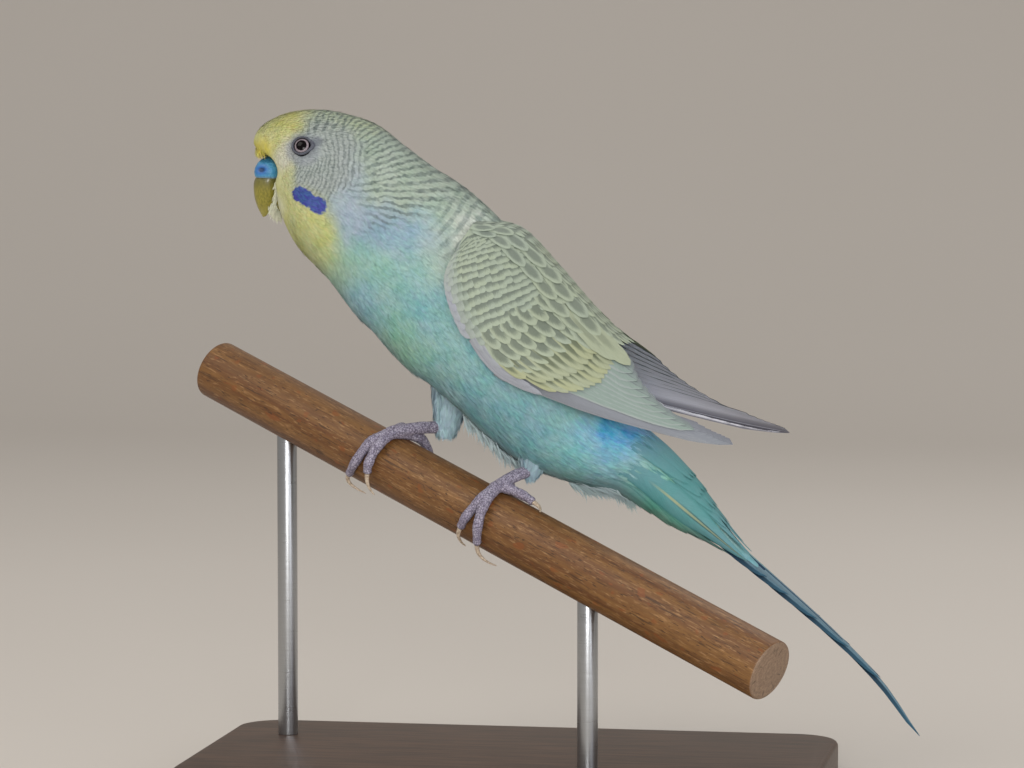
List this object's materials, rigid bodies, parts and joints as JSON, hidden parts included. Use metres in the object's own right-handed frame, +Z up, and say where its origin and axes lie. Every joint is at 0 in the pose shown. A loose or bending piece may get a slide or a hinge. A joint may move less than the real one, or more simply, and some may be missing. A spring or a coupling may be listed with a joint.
{
  "type": "budgerigar model on a perch",
  "caption": "Life-size still model of a budgerigar gripping a sloping round wooden perch, with folded wings and a long tail, held by a flat base and short rods.",
  "frame": {"origin": "middle of the underside of the stand's base, on the floor", "axes": "+Z up, -X the way the bird faces, -Y the bird's left side; its middle plane is y = 0"},
  "size_m": [0.1631, 0.085, 0.1474],
  "materials": {
    "head_plumage": "matt fine feathers, yellow mask and grey-white cheeks with fine dark bars",
    "neck_plumage": "matt fine feathers, pale with dark bars above and turquoise below",
    "body_plumage": "matt fine feathers, turquoise with soft green and blue patches",
    "thigh_plumage": "matt downy feathers, pale blue",
    "wing_feathers": "matt feathers, olive-grey with pale yellow edges and lilac-grey flight feathers",
    "tail_feathers": "matt long feathers, steel blue with dark teal edges",
    "eye": "dark, wet gloss, pale iris ring",
    "cere": "smooth waxy skin, blue",
    "bill": "satin horn, olive",
    "foot_skin": "finely scaled skin, lilac-grey",
    "claw": "satin horn, pale brown",
    "perch_wood": "plain oiled beech dowel with dark pores",
    "stand_wood": "dark stained satin wood",
    "stand_steel": "fine brushed steel"
  },
  "bodies": {
    "root": {"stand_base": "stand_wood", "stand_rod_1": "stand_steel", "stand_rod_2": "stand_steel", "perch": "perch_wood", "eye_left": "eye", "eye_right": "eye", "head": "head_plumage", "cere": "cere", "bill_upper": "bill", "bill_lower": "bill", "neck": "neck_plumage", "torso": "body_plumage", "tail": "tail_feathers", "wing_left": "wing_feathers", "wing_right": "wing_feathers", "leg_left": "thigh_plumage", "leg_right": "thigh_plumage", "foot_left": "foot_skin", "foot_right": "foot_skin", "claw_left_toe_1": "claw", "claw_left_toe_2": "claw", "claw_left_toe_3": "claw", "claw_left_toe_4": "claw", "claw_right_toe_1": "claw", "claw_right_toe_2": "claw", "claw_right_toe_3": "claw", "claw_right_toe_4": "claw"}
  },
  "joints": []
}
